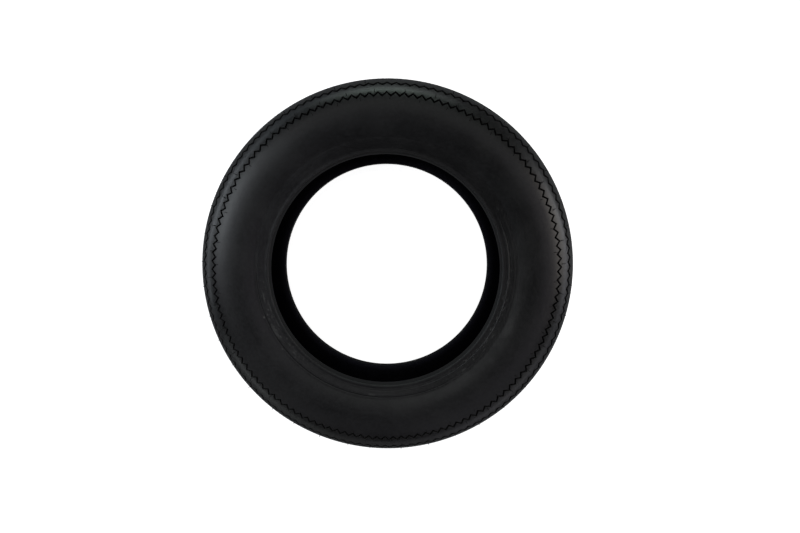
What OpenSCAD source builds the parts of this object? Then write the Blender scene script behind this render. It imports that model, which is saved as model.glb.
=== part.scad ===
// Crossply motorcycle tyre, off its rim, lying on one sidewall.
// Axis of rotation on Z, origin at the centre of the tyre, millimetres.

/* [Size] */
// Outside diameter over the tread
outer_d = 627.6; // [620:0.2:636]
// Diameter at which the sidewall is widest
widest_d = 523.8; // [516:0.2:532]
// Width over the sidewalls
section_w = 163.2; // [158:0.2:168]
// Squareness of the crown arc, 2 is an ellipse
crown_n = 2.22; // [2.1:0.02:2.4]

/* [Beads] */
// Bore of each bead, undersize on a 380.2 mm rim seat
bead_bore_d = 377; // [375:0.2:379]
// Length of the round land inside each bead
bead_land = 14; // [10:1:16]
// Width over the two bead heels
bead_w = 132; // [126:1:136]
// Diameter of the centring line above the rim flange
rim_line_d = 418; // [412:1:424]

/* [Casing] */
// Thickness of the crown, tread included
crown_t = 15; // [13:0.5:17]
// Thickness of the sidewall at its widest
sidewall_t = 6.6; // [6:0.2:9]

/* [Tread] */
// Teeth in each zigzag groove
teeth = 128; // [96:4:144]
// Distance from groove to groove across the crown, along the tread arc
crown_pitch = 26.75; // [25:0.25:27]
// Distance from groove to groove on the shoulders, along the tread arc
shoulder_pitch = 21.4; // [20:0.1:22]
// Height of the zigzag, peak to peak, along the tread arc
zigzag = 6; // [4:0.2:7]
// Width of a groove, along the tread arc
groove_w = 3.6; // [2:0.2:4]
// Depth of a groove
groove_depth = 5; // [3:0.2:5.4]
// Turn of the tooth pattern about the axis, in degrees
tooth_phase = 1.74; // [0:0.01:3.75]

/* [Hidden] */
$fn = 256;
R_crown = outer_d / 2;
R_wide = widest_d / 2;
R_bead = bead_bore_d / 2;
R_line = rim_line_d / 2;
half_w = section_w / 2;
z_heel = bead_w / 2;
heel_r = 4;
z_land = z_heel - heel_r;      // outer end of the bead land
z_toe = z_land - bead_land;    // inner end of the bead land
half_pitch = 180 / teeth;      // angle of one zigzag leg

// Superelliptic crown arc from the tread centre (a = 0) to the widest point (a = 90).
function arc_r(a) = R_wide + (R_crown - R_wide) * pow(cos(a), 2 / crown_n);
function arc_z(a) = half_w * pow(sin(a), 2 / crown_n);

// Angle on the arc that lies a distance s along it from the tread centre.
function seg(a, d) = norm([arc_r(a + d) - arc_r(a), arc_z(a + d) - arc_z(a)]);
function angle_at(s, a = 0, d = 0.25) =
    a + d >= 90 ? 90 :
    let (step = seg(a, d)) s <= step ? a + d * s / step : angle_at(s - step, a + d, d);

// Where the grooves lie on one half: one in the middle of the tread, two more across the
// crown, and two on the shoulder.
groove_s = [0, crown_pitch, 2 * crown_pitch,
            2 * crown_pitch + shoulder_pitch, 2 * crown_pitch + 2 * shoulder_pitch];

// Corners of the crown section: both edges and the middle of every rib, none inside a groove.
reach_s = zigzag / 2 + groove_w / 2 + 0.2;
rib_s = concat([groove_s[0] + reach_s],
    [for (k = [1 : 4])
        for (s = [k == 1 ? groove_s[0] + 2 * reach_s : groove_s[k - 1] + reach_s,
                  (groove_s[k - 1] + groove_s[k]) / 2 + (k == 1 ? 2 : 0),
                  groove_s[k] - reach_s]) s],
    [groove_s[4] + reach_s]);

// Lower sidewall, from the widest point in to the centring line.
line_top = R_line + 2.5;
function flank_z(r) = half_w - 12.5 * pow((R_wide - r) / (R_wide - line_top), 2.1);

// One half of the outside, tread centre to bead toe, as [radius, height].
outer_half = concat(
    [for (s = rib_s) let (a = angle_at(s)) [arc_r(a), arc_z(a)]],
    [for (k = [0 : 8]) let (r = R_wide - k * (R_wide - line_top) / 8) [r, flank_z(r)]],
    [[R_line + 1.3, flank_z(line_top) - 0.2],      // centring line: a fine moulded step
     [R_line + 0.4, flank_z(line_top) - 1.6],
     [R_line - 0.8, flank_z(line_top) - 1.2],
     [R_line - 3.0, flank_z(line_top) - 1.0],
     [R_line - 7.5, z_heel + 1.4],                 // flat where the rim flange bears
     [R_line - 8.3, z_heel + 0.7],
     [R_line - 9.1, z_heel + 1.1],
     [R_bead + 6.6, z_heel + 0.6],
     [R_bead + 5.6, z_heel - 0.2],
     [R_bead + 4.6, z_heel]],
    [for (a = [15 : 15 : 75]) [R_bead + heel_r - heel_r * sin(a), z_land + heel_r * cos(a)]],
    [[R_bead, z_land], [R_bead, z_toe]]
);

// The same half of the inside, bead toe to crown.
R_in = R_crown - crown_t;
z_in = half_w - sidewall_t;
inner_half = [
    [R_bead + 1.6, z_toe - 2.0], [R_bead + 5, z_toe - 2.4], [R_bead + 11, z_toe - 0.6],
    [R_bead + 18, z_toe + 4], [R_bead + 27, z_toe + 11], [R_bead + 38, z_in - 7.6],
    [R_bead + 51, z_in - 2.4], [R_wide - 8, z_in], [R_wide + 3, z_in - 1.6],
    [R_wide + 10, z_in - 5], [R_in - 21, z_in - 9.6], [R_in - 13, z_in - 16.6],
    [R_in - 7, z_in - 26], [R_in - 3, z_in - 37], [R_in - 1, z_in - 50], [R_in, z_in - 63]
];

function flip(pts) = [for (i = [len(pts) - 1 : -1 : 0]) [pts[i][0], -pts[i][1]]];
section = concat(outer_half, inner_half, flip(inner_half), flip(outer_half));

module casing() rotate_extrude() polygon(section);

// Ring with a zigzag outline between two mean radii, open along Z.
function zig_ring(r, h) = [for (i = [0 : 2 * teeth - 1])
    let (a = tooth_phase + i * half_pitch, q = r + (i % 2 == 0 ? h : -h)) [q * cos(a), q * sin(a)]];

// Groove on the shoulder, cut along Z, where the tread arc faces sideways.
module shoulder_groove(a) {
    lean = (arc_r(a - 0.5) - arc_r(a + 0.5)) / seg(a - 0.5, 1);   // share of the arc that shows along R
    h = zigzag / 2 * lean;
    w = groove_w / 2 * lean;
    floor_z = arc_z(a) - groove_depth / lean;
    translate([0, 0, floor_z])
        linear_extrude(half_w + 4 - floor_z)
            polygon(concat(zig_ring(arc_r(a) + w, h), zig_ring(arc_r(a) - w, h)),
                    [[for (i = [0 : 2 * teeth - 1]) i], [for (i = [2 * teeth : 4 * teeth - 1]) i]]);
}

// Grooves on the crown, cut towards the axis in flat-floored strips of a few teeth that meet
// end to end just above the tread. All the zigzags run in step across the whole tread.
strip_teeth = 4;
strips = teeth / strip_teeth;
strip_half = strip_teeth * half_pitch;     // half the angle of one strip
reach = R_crown + 2;
module crown_strip(z, w) {
    n = 2 * strip_teeth;
    line = [for (j = [0 : n]) [reach * tan(j * half_pitch - strip_half), z + (j % 2 == 0 ? -1 : 1) * zigzag / 2]];
    polygon(concat([for (p = line) p + [0, w]], [for (j = [n : -1 : 0]) line[j] - [0, w]]));
}
module crown_groove(a) {
    floor_r = arc_r(a) - groove_depth - 0.6;
    for (k = [0 : strips - 1])
        rotate([0, 0, tooth_phase + (2 * k + (a > 0 ? 1 : 2)) * strip_half])
            rotate([90, 0, 90])
                translate([0, 0, floor_r])
                    linear_extrude(reach - floor_r)
                        for (z = a > 0 ? [-arc_z(a), arc_z(a)] : [0])
                            crown_strip(z, groove_w / 2);
}

module tyre() color([0.06, 0.065, 0.065]) difference() {
    casing();
    for (k = [0 : 2]) crown_groove(angle_at(groove_s[k]));
    for (k = [3 : 4]) {
        shoulder_groove(angle_at(groove_s[k]));
        rotate([0, 0, half_pitch]) mirror([0, 0, 1]) shoulder_groove(angle_at(groove_s[k]));
    }
}

tyre();
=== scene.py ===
"""Looks of the motorcycle tyre: the moulded rubber surface with its zigzag tread, and a plain studio.

The tyre lies flat, its axis on Z, and the camera looks down on it. Lengths in this file are
millimetres until the meshes are made, and metres in Blender.
"""

import math
import random

import bpy
import numpy as np
from mathutils import Matrix, Vector


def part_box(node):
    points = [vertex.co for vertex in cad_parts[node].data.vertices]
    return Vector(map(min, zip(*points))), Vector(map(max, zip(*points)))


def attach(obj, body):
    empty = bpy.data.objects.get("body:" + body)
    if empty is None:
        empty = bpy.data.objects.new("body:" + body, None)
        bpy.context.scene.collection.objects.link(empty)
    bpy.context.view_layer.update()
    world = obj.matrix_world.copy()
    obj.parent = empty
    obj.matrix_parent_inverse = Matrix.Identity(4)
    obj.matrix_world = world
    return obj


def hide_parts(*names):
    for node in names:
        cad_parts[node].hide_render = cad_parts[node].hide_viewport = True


MM = 0.001

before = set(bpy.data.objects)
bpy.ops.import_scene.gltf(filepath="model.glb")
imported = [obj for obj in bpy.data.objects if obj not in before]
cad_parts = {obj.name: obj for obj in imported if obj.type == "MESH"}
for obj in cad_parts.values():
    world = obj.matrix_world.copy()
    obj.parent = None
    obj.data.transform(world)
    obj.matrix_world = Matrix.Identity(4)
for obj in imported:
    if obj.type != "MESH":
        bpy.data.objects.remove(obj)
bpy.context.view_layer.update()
low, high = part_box("tyre")
HALF_W = high.z / MM          # half the width over the sidewalls, hairs included
SURF_W = HALF_W - 0.4         # half the width of the bare rubber
R_CROWN = 313.75              # tread centre

# ---------------------------------------------------------------- camera
scene = bpy.context.scene
cam_data = bpy.data.cameras.new("camera")
camera = bpy.data.objects.new("camera", cam_data)
scene.collection.objects.link(camera)
scene.camera = camera
cam_data.sensor_fit = "HORIZONTAL"
cam_data.sensor_width = 36.0
cam_data.lens = 36.0 * 452.59 / 800.0
cam_data.shift_x = 23.90 / 800.0
cam_data.shift_y = 10.72 / 800.0
cam_data.clip_start = 0.02
cam_data.clip_end = 30.0
right = Vector((0.99900729, -0.00358080, -0.04440280))
up = Vector((-0.00082507, 0.99510578, -0.09881200))
back = Vector((0.04453931, 0.09875054, 0.99411498))
turn = Matrix((right, up, back)).transposed().to_4x4()
camera.matrix_world = Matrix.Translation(Vector((0.019809, 0.063285, 0.792108))) @ turn

# ---------------------------------------------------------------- section of the tyre
R_WIDE = 261.9
R_BEAD = 188.5
CROWN_N = 2.22
TEETH = 128
PHASE = math.radians(1.74)      # azimuth of an outward peak
ZIG = 3.0                       # half the height of the zigzag, along the surface
CROWN_PITCH = 26.75             # from groove to groove, along the surface
SHOULDER_PITCH = 21.4
GROOVE_W = 3.6
DEPTH = 5.0

_a = np.radians(np.concatenate([np.linspace(0, 2, 400), np.linspace(2, 90, 2200)[1:]]))
_r = R_WIDE + (R_CROWN - R_WIDE) * np.clip(np.cos(_a), 0, 1) ** (2 / CROWN_N)
_z = SURF_W * np.sin(_a) ** (2 / CROWN_N)
_s = np.concatenate([[0], np.cumsum(np.hypot(np.diff(_r), np.diff(_z)))])
S_END = float(_s[-1])           # arc from the tread centre to the widest point


def arc(s):
    """(radius, height) on the crown arc at the signed distance s from the tread centre."""
    t = np.abs(s)
    return np.interp(t, _s, _r), np.sign(s) * np.interp(t, _s, _z)


def arc_normal(s):
    """Outward normal there, as (radial, upward) parts."""
    r1, z1 = arc(np.clip(s + 0.9, -S_END, S_END))
    r0, z0 = arc(np.clip(s - 0.9, -S_END, S_END))
    tr, tz = r1 - r0, z1 - z0
    n = np.hypot(tr, tz)
    return tz / n, -tr / n


def flank(r):
    """Height of the lower sidewall at radius r."""
    return SURF_W - 12.2 * ((R_WIDE - r) / (R_WIDE - 211.5)) ** 1.9


# ---------------------------------------------------------------- the tyre's mesh
# Rows run round the section: along the inside of the lower half, out over the lower bead and
# sidewall, across the tread, and back down the upper side. Two columns to a tooth put one on
# every corner of the zigzag.
COLS = 2 * TEETH
azimuth = PHASE + math.pi * np.arange(COLS) / TEETH
wave = np.where(np.arange(COLS) % 2 == 0, 1.0, -1.0)   # +1 at an outward peak
LINER, BEAD, SIDE, TREAD, PIT = 2, 3, 0, 1, 4
# the rim line is pressed in fully on one half of the circle and all but runs out on the other
line_depth = 0.04 + 0.96 * np.clip(0.62 - 1.6 * np.sin(azimuth - math.radians(4)), 0, 1)
line_depth *= 1 - 0.8 * np.clip(1.6 * np.cos(azimuth - math.radians(333)) - 0.7, 0, 1)

rows = []  # (radius array, height array, zone, normal or None)


def add_plain(r, z, zone, dip=0.0):
    z = np.full(COLS, float(z))
    rows.append((np.full(COLS, float(r)), z - np.sign(z) * dip * line_depth, zone, None))


def add_tread(s, depth=0.0, zone=TREAD, follow=1.0):
    ss = s - follow * ZIG * wave
    r, z = arc(ss)
    nr, nz = arc_normal(ss)
    rows.append((r - depth * nr, z - depth * nz, zone, (nr, nz) if depth == 0 else None))


# half profiles, from the bead toe outwards to the widest point (upper side, z > 0)
outside = [  # the last number is how much of the rim line's depth the point takes, in millimetres
    (188.5, 48.0, 0), (188.5, 54.0, 0), (188.5, 58.3, 0), (188.52, 59.3, 0), (188.62, 60.3, 0),
    (188.9, 61.3, 0), (189.4, 62.2, 0), (190.1, 63, 0), (191.0, 63.45, 0), (192.2, 63.7, 0), (193.4, 63.85, 0),
    (194.2, 63.92, 0.05), (194.9, 64.05, 0.12), (195.6, 64.22, 0.05), (196.4, 64.44, 0), (197.4, 64.69, 0),
    (198.5, 64.99, 0), (199.3, 65.34, 0), (200.1, 65.53, 0), (201.5, 65.97, 0), (203.4, 66.57, 0), (204.8, 67, 0),
    (206.3, 67.48, 0.08), (207.0, 67.69, 0.18), (207.5, 67.84, 0.38), (207.9, 67.97, 0.48), (208.3, 68.08, 0.4), (208.8, 68.23, 0.2),
    (209.4, 68.41, 0.08), (210.4, 68.69, 0), (211.5, 68.98, 0),
]
inside = [  # bead toe to the middle of the crown, inner liner
    (188.75, 47.1), (189.5, 46.4), (191.0, 45.8), (193.5, 45.6), (196.5, 46.2), (199.5, 47.6), (203.0, 49.8),
    (206.5, 52.2), (211.0, 55.4), (215.5, 59.0), (221.0, 63.4), (226.5, 67.2), (232.5, 70.3), (239.5, 72.6),
    (247.0, 74.3), (254.0, 74.9), (260.0, 74.4), (265.5, 73.1), (272.0, 69.9), (278.0, 65.2), (283.0, 60.7),
    (287.5, 55.6), (291.5, 49.0), (294.5, 41.5), (296.6, 33.0), (298.0, 23.0), (298.7, 12.0),
]
flank_r = np.linspace(213.4, R_WIDE - 2.0, 22)

for r, z in reversed(inside):
    add_plain(r, -z, LINER)
for r, z, dip in outside:
    add_plain(r, -z, BEAD, dip)
for r in flank_r:
    add_plain(r, -flank(r), SIDE)
edge_s = [S_END - 0.01, S_END - 1.8, S_END - 3.5, S_END - 5.0, S_END - 6.0]
half = [CROWN_PITCH, 2 * CROWN_PITCH, 2 * CROWN_PITCH + SHOULDER_PITCH, 2 * CROWN_PITCH + 2 * SHOULDER_PITCH]
grooves = [-g for g in reversed(half)] + [0.0] + half
widths = [GROOVE_W + (-0.3, 1.1, 0.2, 0.2, 0.2, 0.2, 0.2, 1.1, -0.3)[k] for k in range(9)]


def groove_section(w):
    """Offset from the groove's middle and depth below the surface, lip to lip."""
    half_line = [(w + 0.2, 0.0), (w, 0.3), (w - 0.15, 2.4), (w - 0.4, 4.2), (w - 0.9, DEPTH - 0.1)]
    return [(-a, d) for a, d in half_line] + [(0.0, DEPTH)] + half_line[::-1]



for k, s in enumerate(edge_s):
    add_tread(-s, follow=0.22 * k, zone=SIDE)
for gi, g in enumerate(grooves):
    for off, d in groove_section(widths[gi] / 2):
        add_tread(g + off, d, zone=TREAD if d == 0 else PIT)
    if gi < 8:
        a0, a1 = g + widths[gi] / 2 + 0.2, grooves[gi + 1] - widths[gi + 1] / 2 - 0.2
        for t in (0.12, 0.3, 0.5, 0.7, 0.88):
            add_tread(a0 + t * (a1 - a0))
for k, s in reversed(list(enumerate(edge_s))):
    add_tread(s, follow=0.22 * k, zone=SIDE)
for r in reversed(flank_r):
    add_plain(r, flank(r), SIDE)
for r, z, dip in reversed(outside):
    add_plain(r, z, BEAD, dip)
for r, z in inside:
    add_plain(r, z, LINER)
add_plain(298.8, 0.0, LINER)

ROWS = len(rows)
ca, sa = np.cos(azimuth), np.sin(azimuth)
grid = np.zeros((ROWS, COLS, 3))
normal = np.zeros((ROWS, COLS, 3))
zone_of = np.zeros(ROWS, int)
smooth_row = np.zeros(ROWS, bool)
for i, (r, z, zone, n) in enumerate(rows):
    grid[i, :, 0], grid[i, :, 1], grid[i, :, 2] = r * ca, r * sa, z
    zone_of[i] = zone
    if n is not None:
        smooth_row[i] = True
        normal[i, :, 0], normal[i, :, 1], normal[i, :, 2] = n[0] * ca, n[0] * sa, n[1]
verts = (grid.reshape(-1, 3) * MM)
i0 = np.repeat(np.arange(ROWS), COLS)
i1 = (i0 + 1) % ROWS
c0 = np.tile(np.arange(COLS), ROWS)
c1 = (c0 + 1) % COLS
quads = np.stack([i0 * COLS + c0, i0 * COLS + c1, i1 * COLS + c1, i1 * COLS + c0], 1)

mesh = bpy.data.meshes.new("tyre_rubber")
mesh.from_pydata(verts.tolist(), [], quads.tolist())
mesh.update()
tyre = bpy.data.objects.new("tyre_rubber", mesh)
scene.collection.objects.link(tyre)
mesh.shade_smooth()
mesh.set_sharp_from_angle(angle=math.radians(38))
# the ribs' faces shear to follow the zigzag, so their shading takes the true arc's normals
on_rib = smooth_row[i0] & smooth_row[i1]
flat_normals = normal.reshape(-1, 3)
corner = np.where(on_rib[:, None, None], flat_normals[quads], 0.0).reshape(-1, 3)
mesh.normals_split_custom_set(corner.tolist())


# ---------------------------------------------------------------- vent hairs
def tube(verts, faces, path, radii, sides=6):
    """A closed tapered tube along path, points in millimetres."""
    base = len(verts)
    for k, p in enumerate(path):
        a = path[max(k - 1, 0)]
        b = path[min(k + 1, len(path) - 1)]
        d = (b - a).normalized()
        u = d.cross(Vector((0.3, 0.2, 1.0))).normalized()
        v = d.cross(u)
        for j in range(sides):
            t = 2 * math.pi * j / sides
            verts.append((p + (u * math.cos(t) + v * math.sin(t)) * radii[k]) * MM)
    n = len(path)
    for k in range(n - 1):
        for j in range(sides):
            m = (j + 1) % sides
            faces.append((base + k * sides + j, base + k * sides + m, base + (k + 1) * sides + m, base + (k + 1) * sides + j))
    faces.append(tuple(base + j for j in reversed(range(sides))))
    faces.append(tuple(base + (n - 1) * sides + j for j in range(sides)))


rng = random.Random(11)
hair_v, hair_f = [], []


def hair(s, phi, length, lean, skew, side=1):
    """A vent hair rooted on the arc at s. It leans from standing (0) to lying outwards (1)."""
    r, z = arc(float(s))
    nr, nz = arc_normal(float(s))
    tr, tz = nz, -nr                       # along the surface, away from the axis
    pts, rad = [], []
    pr, pz, pa = float(r) - 0.5 * float(nr), float(z) - 0.5 * float(nz), 0.0
    steps = 5
    for k in range(steps + 1):
        pts.append(Vector((pr * math.cos(phi) - pa * math.sin(phi), pr * math.sin(phi) + pa * math.cos(phi), side * min(pz, HALF_W - 0.6))))
        rad.append(0.58 - 0.2 * k / steps)
        q = lean * min(1.0, (k + 0.6) / 2.2)
        dr, dz = nr * (1 - q) + tr * q, nz * (1 - q) + tz * q
        m = math.hypot(dr, dz)
        step = (length + 0.6) / steps
        pr += dr / m * step * math.cos(skew)
        pz += dz / m * step * math.cos(skew)
        pa += step * math.sin(skew) * q
    tube(hair_v, hair_f, pts, rad)


for side in (1, -1):
    for k in range(40):
        turn_by = 9.0 * k + (2.0 if side > 0 else 6.0)
        for s, off, length, lean in ((92.0, 0.0, 6.2, 0.82), (104.6, 4.6, 5.4, 0.98), (69.4, 3.2, 4.6, 0.6)):
            if rng.random() < 0.12:
                continue
            hair(s + rng.uniform(-0.6, 0.6), math.radians(turn_by + off + rng.uniform(-0.9, 0.9)),
                 length * rng.uniform(0.7, 1.15), min(0.98, lean * rng.uniform(0.9, 1.1)), rng.uniform(-0.35, 0.35), side)
hair_mesh = bpy.data.meshes.new("vent_hairs")
hair_mesh.from_pydata(hair_v, [], hair_f)
hair_mesh.update()
hair_mesh.shade_smooth()
hairs = bpy.data.objects.new("vent_hairs", hair_mesh)
scene.collection.objects.link(hairs)


# ---------------------------------------------------------------- materials
class Nodes:
    """Short names for building a node tree."""

    def __init__(self, name):
        self.mat = bpy.data.materials.new(name)
        self.mat.use_nodes = True
        self.nt = self.mat.node_tree
        self.nt.nodes.clear()
        self.out = self.nt.nodes.new("ShaderNodeOutputMaterial")
        self.bsdf = self.nt.nodes.new("ShaderNodeBsdfPrincipled")
        self.nt.links.new(self.bsdf.outputs[0], self.out.inputs[0])

    def put(self, socket, value):
        if isinstance(value, bpy.types.NodeSocket):
            self.nt.links.new(value, socket)
        elif value is not None:
            socket.default_value = value

    def math(self, op, a, b=None, c=None, clamp=False):
        n = self.nt.nodes.new("ShaderNodeMath")
        n.operation = op
        n.use_clamp = clamp
        for k, v in enumerate((a, b, c)):
            self.put(n.inputs[k], v)
        return n.outputs[0]

    def noise(self, vector, scale, detail=2.0, rough=0.5, distortion=0.0):
        n = self.nt.nodes.new("ShaderNodeTexNoise")
        self.put(n.inputs["Vector"], vector)
        n.inputs["Scale"].default_value = scale
        n.inputs["Detail"].default_value = detail
        n.inputs["Roughness"].default_value = rough
        n.inputs["Distortion"].default_value = distortion
        return n.outputs[0]

    def ramp(self, value, a, b, lo=0.0, hi=1.0):
        n = self.nt.nodes.new("ShaderNodeMapRange")
        n.interpolation_type = "SMOOTHSTEP"
        self.put(n.inputs["Value"], value)
        for k, v in zip(("From Min", "From Max", "To Min", "To Max"), (a, b, lo, hi)):
            n.inputs[k].default_value = v
        return n.outputs["Result"]

    def band(self, value, a, b, c, d):
        return self.math("MULTIPLY", self.ramp(value, a, b), self.ramp(value, c, d, 1.0, 0.0))

    def mix(self, fac, a, b):
        n = self.nt.nodes.new("ShaderNodeMix")
        n.data_type = "RGBA"
        self.put(n.inputs[0], fac)
        self.put(n.inputs[6], a)
        self.put(n.inputs[7], b)
        return n.outputs[2]

    def polar(self):
        """Object coordinates, radius, azimuth in radians and height, metres."""
        tc = self.nt.nodes.new("ShaderNodeTexCoord")
        sep = self.nt.nodes.new("ShaderNodeSeparateXYZ")
        self.nt.links.new(tc.outputs["Object"], sep.inputs[0])
        x, y, z = sep.outputs
        rr = self.math("SQRT", self.math("ADD", self.math("MULTIPLY", x, x), self.math("MULTIPLY", y, y)))
        return tc.outputs["Object"], rr, self.math("ARCTAN2", y, x), z

    def vec(self, x, y, z):
        n = self.nt.nodes.new("ShaderNodeCombineXYZ")
        for k, v in enumerate((x, y, z)):
            self.put(n.inputs[k], v)
        return n.outputs[0]

    def bump(self, height, distance, strength=1.0, below=None):
        n = self.nt.nodes.new("ShaderNodeBump")
        n.inputs["Strength"].default_value = strength
        n.inputs["Distance"].default_value = distance
        self.put(n.inputs["Height"], height)
        if below is not None:
            self.put(n.inputs["Normal"], below)
        return n.outputs[0]


def around(n, azim, centre, half_width):
    """1 near an azimuth in degrees, 0 beyond half_width of it."""
    d = n.math("SUBTRACT", azim, math.radians(centre))
    c = n.math("COSINE", d)
    return n.ramp(c, math.cos(math.radians(half_width)), math.cos(math.radians(half_width * 0.35)))


def mark(n, rr, azim, edge, centre, radius, along, across):
    """1 inside a ragged oval mark at an azimuth in degrees and a radius in millimetres."""
    d = n.math("SINE", n.math("SUBTRACT", azim, math.radians(centre)))
    u = n.math("MULTIPLY", d, radius / along)
    v = n.math("DIVIDE", n.math("SUBTRACT", rr, radius * MM), across * MM)
    near = n.math("COSINE", n.math("SUBTRACT", azim, math.radians(centre)))
    q = n.math("ADD", n.math("MULTIPLY", u, u), n.math("MULTIPLY", v, v))
    q = n.math("ADD", q, n.math("MULTIPLY", n.math("SUBTRACT", edge, 0.5), 2.2))
    return n.math("MULTIPLY", n.ramp(q, 0.25, 1.25, 1.0, 0.0), n.math("GREATER_THAN", near, 0.0))


# wear: azimuth, radius, half length and half width in millimetres, strength
LIGHT_MARKS = [
    (200.8, 210.6, 2.4, 1.7, 0.55), (200.3, 204.2, 2.0, 1.1, 0.45), (212.2, 202.0, 3.0, 1.2, 0.5),
    (217.3, 210.6, 2.6, 0.9, 0.45), (209.0, 204.6, 15.0, 3.0, 0.28), (192.0, 201.5, 11.0, 1.0, 0.38),
    (197.5, 197.0, 13.0, 0.9, 0.38), (206.0, 195.4, 9.0, 0.8, 0.36), (264.0, 204.8, 6.5, 1.8, 0.24),
    (222.0, 201.0, 7.0, 1.4, 0.16), (331.5, 199.8, 8.0, 0.7, 0.3), (322.0, 205.8, 5.0, 1.0, 0.22),
    (336.0, 218.0, 20.0, 6.0, 0.14), (309.0, 206.5, 5.0, 1.6, 0.25), (345.0, 199.6, 7.0, 0.6, 0.25),
]
DARK_MARKS = [
    (208.3, 193.6, 4.5, 1.7, 0.8), (216.0, 193.2, 6.0, 1.9, 0.9), (184.0, 196.0, 5.0, 1.0, 0.5),
    (198.0, 207.0, 5.0, 1.4, 0.6), (29.0, 205.0, 5.0, 1.6, 0.5),
]


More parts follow.
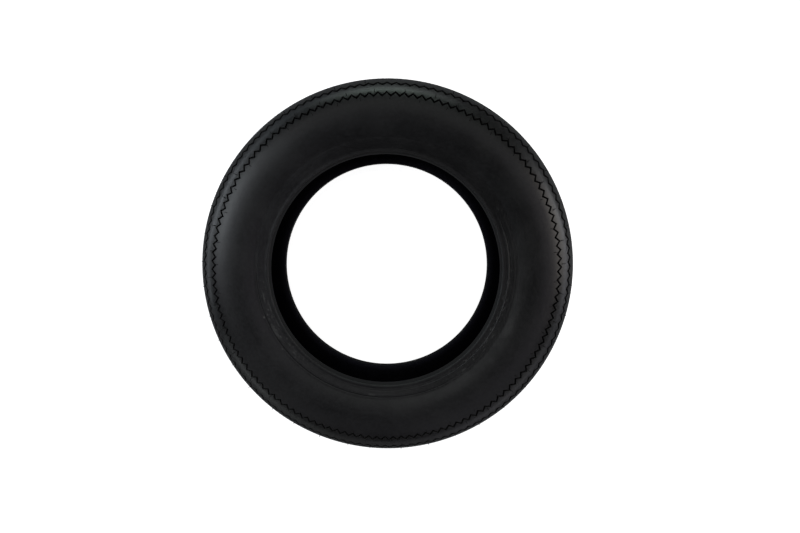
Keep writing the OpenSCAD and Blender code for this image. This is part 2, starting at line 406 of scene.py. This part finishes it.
def rubber(name="tyre_rubber"):
    n = Nodes(name)
    obj, rr, azim, z = n.polar()
    rings = n.vec(n.math("MULTIPLY", rr, 1.0), n.math("MULTIPLY", azim, 0.004), n.math("MULTIPLY", z, 0.25))
    broad = n.noise(obj, 16.0, 3.0, 0.55)
    fine = n.noise(obj, 1100.0, 2.0, 0.6)
    streak = n.noise(rings, 420.0, 3.0, 0.6)
    # moulding film and dust: a thin grey-brown bloom, thickest in patches above the bead. The bloom also carries
    # painted light: lighter patches on the bead and flank where light falls.
    near_bead = n.band(rr, 0.1935, 0.1965, 0.2035, 0.2065)
    low_wall = n.band(rr, 0.2085, 0.214, 0.222, 0.240)
    lower = n.math("MAXIMUM", around(n, azim, 204, 34), around(n, azim, 338, 44))
    specks = n.ramp(n.noise(n.vec(n.math("MULTIPLY", rr, 1.0), n.math("MULTIPLY", azim, 0.10), z), 330.0, 4.0, 0.65), 0.56, 0.70)
    scuff = n.math("MULTIPLY", n.math("MULTIPLY", near_bead, specks), n.math("MULTIPLY", lower, 0.75))
    smear = n.math("MULTIPLY", n.math("MULTIPLY", low_wall, n.ramp(n.noise(obj, 62.0, 3.0, 0.6), 0.52, 0.72)), n.math("MULTIPLY", lower, 0.06))
    bloom_and_painted_light = n.ramp(broad, 0.42, 0.75, 0.0, 0.05)
    # painted light: a paler patch on the low flank round azimuth 322 degrees, where light falls on that flank
    painted_flank_light = n.math("MULTIPLY", n.band(rr, 0.2092, 0.2125, 0.2190, 0.2330), around(n, azim, 322, 56))
    bloom_and_painted_light = n.math("ADD", bloom_and_painted_light, n.math("MULTIPLY", painted_flank_light, n.ramp(n.noise(obj, 45.0, 2.0, 0.5), 0.25, 0.75, 0.06, 0.17)))
    # painted light: a lighter band over the bead round azimuth 240 degrees, where its slope faces the light
    painted_bead_light = n.math("MULTIPLY", n.band(rr, 0.1955, 0.1995, 0.2045, 0.2075), around(n, azim, 240, 60))
    # painted light: lighter flank round azimuths 145 and 318 degrees, a painted spread of the highlights there
    painted_flank_highlight = n.math("MULTIPLY", n.band(rr, 0.2140, 0.2280, 0.2440, 0.2560), n.math("MAXIMUM", around(n, azim, 145, 34), around(n, azim, 318, 42)))
    bloom_and_painted_light = n.math("ADD", bloom_and_painted_light, n.math("ADD", n.math("MULTIPLY", painted_bead_light, 0.045), n.math("MULTIPLY", painted_flank_highlight, 0.032)))
    upper = n.math("GREATER_THAN", z, 0.0)
    edge = n.noise(obj, 520.0, 3.0, 0.65)
    hairline = n.noise(n.vec(rr, n.math("MULTIPLY", azim, 0.007), 0.0), 1500.0, 2.0, 0.55)
    fine_lines = n.math("MULTIPLY", n.ramp(hairline, 0.60, 0.74), n.band(rr, 0.189, 0.193, 0.206, 0.2105))
    worn_arc = n.math("MAXIMUM", n.math("MULTIPLY", around(n, azim, 203, 32), 0.42), n.math("MULTIPLY", around(n, azim, 328, 42), 0.3))
    worn = n.math("MULTIPLY", fine_lines, worn_arc)
    for centre, radius, along, across, strength in LIGHT_MARKS:
        worn = n.math("MAXIMUM", worn, n.math("MULTIPLY", mark(n, rr, azim, edge, centre, radius, along, across), strength))
    soil_and_painted_shade = None
    for centre, radius, along, across, strength in DARK_MARKS:
        m = n.math("MULTIPLY", mark(n, rr, azim, edge, centre, radius, along, across), strength)
        soil_and_painted_shade = m if soil_and_painted_shade is None else n.math("MAXIMUM", soil_and_painted_shade, m)
    worn = n.math("MULTIPLY", worn, upper)
    # painted shade: the rim line darkened on the half of the circle where it is pressed in
    painted_line_shade = n.math("MULTIPLY", n.band(rr, 0.2068, 0.2076, 0.2083, 0.2092), n.ramp(n.math("SINE", n.math("SUBTRACT", azim, math.radians(4))), -0.1, 0.5, 0.75, 0.0))
    soil_and_painted_shade = n.math("MAXIMUM", n.math("MULTIPLY", soil_and_painted_shade, upper), painted_line_shade)
    # dust and wear, with the painted light of the bloom
    dust_and_painted_light = n.math("ADD", n.math("ADD", n.math("ADD", scuff, smear), bloom_and_painted_light), worn, clamp=True)
    mottle = n.ramp(n.noise(obj, 210.0, 3.0, 0.62), 0.34, 0.66)
    ground = n.mix(mottle, (0.0066, 0.0067, 0.0070, 1), (0.0106, 0.0107, 0.0112, 1))
    colour = n.mix(dust_and_painted_light, ground, (0.085, 0.083, 0.080, 1))
    colour = n.mix(soil_and_painted_shade, colour, (0.004, 0.004, 0.0036, 1))
    # painted shade, blacker rubber colour: over the heel all round, to dim its highlight, and over the bead and low
    # flank on the half round azimuth 62 degrees, whose slope faces away from the light
    painted_shade = n.math("MAXIMUM", n.math("MULTIPLY", n.band(rr, 0.1885, 0.1905, 0.2065, 0.2120), 0.60), n.math("MULTIPLY", n.band(rr, 0.2065, 0.2120, 0.2440, 0.2520), 0.32))
    painted_shade = n.math("MULTIPLY", painted_shade, around(n, azim, 62, 88))
    painted_shade = n.math("MAXIMUM", painted_shade, n.math("MULTIPLY", n.band(rr, 0.1882, 0.1890, 0.1925, 0.1945), 0.40))
    colour = n.mix(painted_shade, colour, (0.0020, 0.0020, 0.0022, 1))
    n.put(n.bsdf.inputs["Base Color"], colour)
    rough = n.math("ADD", n.math("MULTIPLY", n.math("SUBTRACT", broad, 0.5), 0.16), 0.385)
    rough = n.math("ADD", rough, n.math("MULTIPLY", n.band(rr, 0.1880, 0.1888, 0.1905, 0.1935), 0.17))
    rough = n.math("ADD", rough, n.math("MULTIPLY", n.math("SUBTRACT", streak, 0.5), 0.10))
    rough = n.math("ADD", rough, n.math("MULTIPLY", n.math("SUBTRACT", mottle, 0.5), 0.05))
    rough = n.math("ADD", rough, n.math("MULTIPLY", n.math("MAXIMUM", dust_and_painted_light, n.math("MULTIPLY", soil_and_painted_shade, 0.8)), 0.5), clamp=True)
    n.put(n.bsdf.inputs["Roughness"], rough)
    n.bsdf.inputs["Specular IOR Level"].default_value = 0.5
    turned = n.math("MULTIPLY", streak, n.band(rr, 0.188, 0.191, 0.206, 0.214))
    b = n.bump(n.noise(obj, 38.0, 2.0, 0.5), 0.0009, 0.35)
    b = n.bump(turned, 0.0005, 0.5, b)
    ridge = n.math("MULTIPLY", n.band(rr, 0.1984, 0.1992, 0.1995, 0.2004), around(n, azim, 334, 62))
    b = n.bump(ridge, 0.00045, 1.0, b)
    b = n.bump(fine, 0.00012, 0.35, b)
    n.put(n.bsdf.inputs["Normal"], b)
    return n.mat


def pit():
    """Inside of the tread grooves: unpolished rubber that no light reaches well, painted paler round azimuth 248
    degrees to stand in for light on the groove walls.
    """
    n = Nodes("groove_rubber")
    obj, rr, azim, z = n.polar()
    f = n.noise(obj, 700.0, 3.0, 0.6)
    clean = n.mix(f, (0.0060, 0.0060, 0.0063, 1), (0.0105, 0.0105, 0.0108, 1))
    # painted light: grooves and hairs paler round azimuth 248 degrees, standing in for light on the groove walls
    painted_groove_light = n.math("MULTIPLY", around(n, azim, 248, 78), n.ramp(f, 0.2, 0.8, 0.12, 0.30))
    painted_groove_light = n.math("MULTIPLY", painted_groove_light, n.ramp(rr, 0.24, 0.26))
    n.put(n.bsdf.inputs["Base Color"], n.mix(painted_groove_light, clean, (0.085, 0.083, 0.080, 1)))
    n.put(n.bsdf.inputs["Roughness"], n.ramp(f, 0.2, 0.8, 0.75, 0.95))
    n.bsdf.inputs["Specular IOR Level"].default_value = 0.15
    n.put(n.bsdf.inputs["Normal"], n.bump(f, 0.0002, 0.4))
    return n.mat


def liner():
    """Inner liner: matte, with the fine slanting lines that the curing bladder leaves."""
    n = Nodes("inner_liner")
    obj, rr, azim, z = n.polar()
    slant = n.math("ADD", n.math("MULTIPLY", azim, 180.0), n.math("MULTIPLY", z, 700.0))
    lines = n.math("POWER", n.math("ABSOLUTE", n.math("SINE", slant)), 6.0)
    f = n.noise(obj, 240.0, 3.0, 0.6)
    n.put(n.bsdf.inputs["Base Color"], n.mix(f, (0.0070, 0.0066, 0.0110, 1), (0.0130, 0.0120, 0.0180, 1)))
    n.put(n.bsdf.inputs["Roughness"], n.ramp(f, 0.2, 0.8, 0.78, 0.92))
    n.bsdf.inputs["Specular IOR Level"].default_value = 0.15
    n.put(n.bsdf.inputs["Normal"], n.bump(lines, 0.0004, 0.5, n.bump(f, 0.0003, 0.4)))
    return n.mat


rubber_mat = rubber()
mesh.materials.append(rubber_mat)
mesh.materials.append(liner())
mesh.materials.append(pit())
z0, z1 = zone_of[i0], zone_of[i1]
index = np.zeros(len(quads), np.int32)
index[(z0 == LINER) & (z1 == LINER)] = 1
index[(z0 == PIT) | (z1 == PIT)] = 2
# the bottom of the rim line, where it is pressed in, holds the same dull rubber
row_dip = np.zeros(ROWS, bool)
for i, (r, z, zone, n) in enumerate(rows):
    row_dip[i] = zone == BEAD and 207.4 < r[0] < 208.4
index[row_dip[i0] & row_dip[i1] & (line_depth[c0] > 0.5)] = 2
mesh.polygons.foreach_set("material_index", index)
hair_mesh.materials.append(pit())

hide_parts("tyre")
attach(tyre, "root")
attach(hairs, "root")

# ---------------------------------------------------------------- studio
# White paper that shines a little itself, so it stays white under this low-key light. It
# throws no light back into the bore, where the real tyre is black.
floor_mesh = bpy.data.meshes.new("floor")
e = 6.0
floor_mesh.from_pydata([(-e, -e, 0), (e, -e, 0), (e, e, 0), (-e, e, 0)], [], [(0, 1, 2, 3)])
floor = bpy.data.objects.new("floor", floor_mesh)
scene.collection.objects.link(floor)
floor.location.z = low.z
floor.visible_diffuse = False
floor.visible_glossy = False
fm = bpy.data.materials.new("floor_paper")
fm.use_nodes = True
fb = fm.node_tree.nodes["Principled BSDF"]
fb.inputs["Base Color"].default_value = (0.8, 0.8, 0.8, 1)
fb.inputs["Roughness"].default_value = 0.9
fb.inputs["Specular IOR Level"].default_value = 0.0
fb.inputs["Emission Color"].default_value = (1, 1, 1, 1)
fb.inputs["Emission Strength"].default_value = 0.93
floor_mesh.materials.append(fm)

# Light that the paper gives back: round the tyre to its lower half, and faintly up the bore.
def glow(name, r_in, r_out, strength):
    n = 64
    turn_of = [2 * math.pi * k / n for k in range(n)]
    if r_in > 0:
        v = [(r * math.cos(t), r * math.sin(t), 0) for r in (r_in, r_out) for t in turn_of]
        f = [(k, n + k, n + (k + 1) % n, (k + 1) % n) for k in range(n)]
    else:
        v = [(r_out * math.cos(t), r_out * math.sin(t), 0) for t in turn_of]
        f = [tuple(range(n))]
    m = bpy.data.meshes.new(name)
    m.from_pydata(v, [], f)
    o = bpy.data.objects.new(name, m)
    scene.collection.objects.link(o)
    o.location.z = low.z + 0.001
    o.visible_camera = False
    o.visible_shadow = False
    mat = bpy.data.materials.new(name)
    mat.use_nodes = True
    p = mat.node_tree.nodes["Principled BSDF"]
    p.inputs["Base Color"].default_value = (0, 0, 0, 1)
    p.inputs["Specular IOR Level"].default_value = 0.0
    p.inputs["Emission Color"].default_value = (0.93, 0.96, 1.0, 1)
    p.inputs["Emission Strength"].default_value = strength
    m.materials.append(mat)


glow("floor_glow", 0.36, 1.6, 0.16)
glow("bore_glow", 0.0, 0.18, 0.08)

world = bpy.data.worlds.new("studio")
scene.world = world
world.use_nodes = True
world.node_tree.nodes["Background"].inputs[0].default_value = (1, 1, 1, 1)
world.node_tree.nodes["Background"].inputs[1].default_value = 1.0
world.cycles_visibility.diffuse = False
world.cycles_visibility.glossy = False


def softbox(name, azimuth, elevation, distance, size, power, color):
    data = bpy.data.lights.new(name, "AREA")
    data.shape = "RECTANGLE"
    data.size, data.size_y = size
    data.energy = power
    data.color = color
    o = bpy.data.objects.new(name, data)
    scene.collection.objects.link(o)
    a, el = math.radians(azimuth), math.radians(elevation)
    pos = Vector((math.cos(a) * math.cos(el), math.sin(a) * math.cos(el), math.sin(el))) * distance
    o.location = pos
    o.rotation_euler = pos.to_track_quat("Z", "Y").to_euler()
    o.visible_camera = False
    return o


LIGHTS = [  # name, azimuth, elevation, distance, size, power, colour
    ("right_low", 0, 8, 1.7, (0.8, 0.3), 2.632, (0.91, 0.92, 1)),
    ("back_left_low", 120, 8, 1.7, (0.8, 0.3), 0.382, (0.79, 0.89, 1)),
    ("left_low", 180, 8, 1.7, (0.8, 0.3), 1.73, (0.87, 0.93, 1)),
    ("front_left_low", 240, 8, 1.7, (0.8, 0.3), 0.458, (0.95, 1, 0.97)),
    ("front_low", 270, 8, 1.7, (0.8, 0.3), 0.476, (0.97, 0.96, 1)),
    ("front_right_low", 300, 8, 1.7, (0.8, 0.3), 0.838, (0.93, 0.92, 1)),
    ("front_right_low_2", 330, 8, 1.7, (0.8, 0.3), 0.521, (0.87, 0.87, 1)),
    ("right_low_2", 20, 16, 1.7, (0.7, 0.35), 2.388, (0.95, 0.96, 1)),
    ("back_low", 80, 16, 1.7, (0.7, 0.35), 1.591, (0.95, 0.97, 1)),
    ("back_low_2", 100, 16, 1.7, (0.7, 0.35), 1.61, (0.91, 0.98, 1)),
    ("back_left_low_2", 140, 16, 1.7, (0.7, 0.35), 1.129, (0.84, 0.92, 1)),
    ("left_low_2", 160, 16, 1.7, (0.7, 0.35), 3.11, (0.87, 0.93, 1)),
    ("front_left_low_2", 220, 16, 1.7, (0.7, 0.35), 1.225, (0.94, 0.99, 1)),
    ("front_right_low_3", 320, 16, 1.7, (0.7, 0.35), 0.611, (1, 0.98, 0.96)),
    ("back_mid", 90, 25, 1.7, (0.7, 0.45), 2.25, (0.74, 1, 0.84)),
    ("right_high", 0, 65, 1.7, (0.8, 0.8), 0.873, (0.93, 0.83, 1)),
    ("back_right_high", 60, 65, 1.7, (0.8, 0.8), 0.713, (0.94, 1, 0.95)),
    ("back_left_high", 120, 65, 1.7, (0.8, 0.8), 0.84, (1, 0.96, 0.97)),
    ("left_high_near", 160, 42, 0.6, (0.25, 0.25), 0.421, (0.89, 0.97, 1)),
    ("left_high_near_2", 175, 42, 0.6, (0.25, 0.25), 0.14, (0.92, 0.91, 1)),
    ("left_high_near_3", 160, 55, 0.6, (0.25, 0.25), 0.143, (0.87, 0.9, 1)),
    ("front_left_high_near", 225, 42, 0.6, (0.4, 0.4), 0.096, (0.95, 0.95, 1)),
    ("front_high_near", 265, 42, 0.6, (0.4, 0.4), 0.059, (0.94, 0.9, 1)),
    ("front_right_high_near", 305, 42, 0.6, (0.4, 0.4), 0.132, (0.93, 0.93, 1)),
    ("right_mid_near", 10, 30, 0.6, (0.3, 0.3), 0.523, (1, 0.94, 0.87)),
]
for spec in LIGHTS:
    softbox(*spec)

scene.view_settings.view_transform = "Standard"
scene.view_settings.look = "None"
scene.view_settings.exposure = 0.0
scene.view_settings.gamma = 1.0
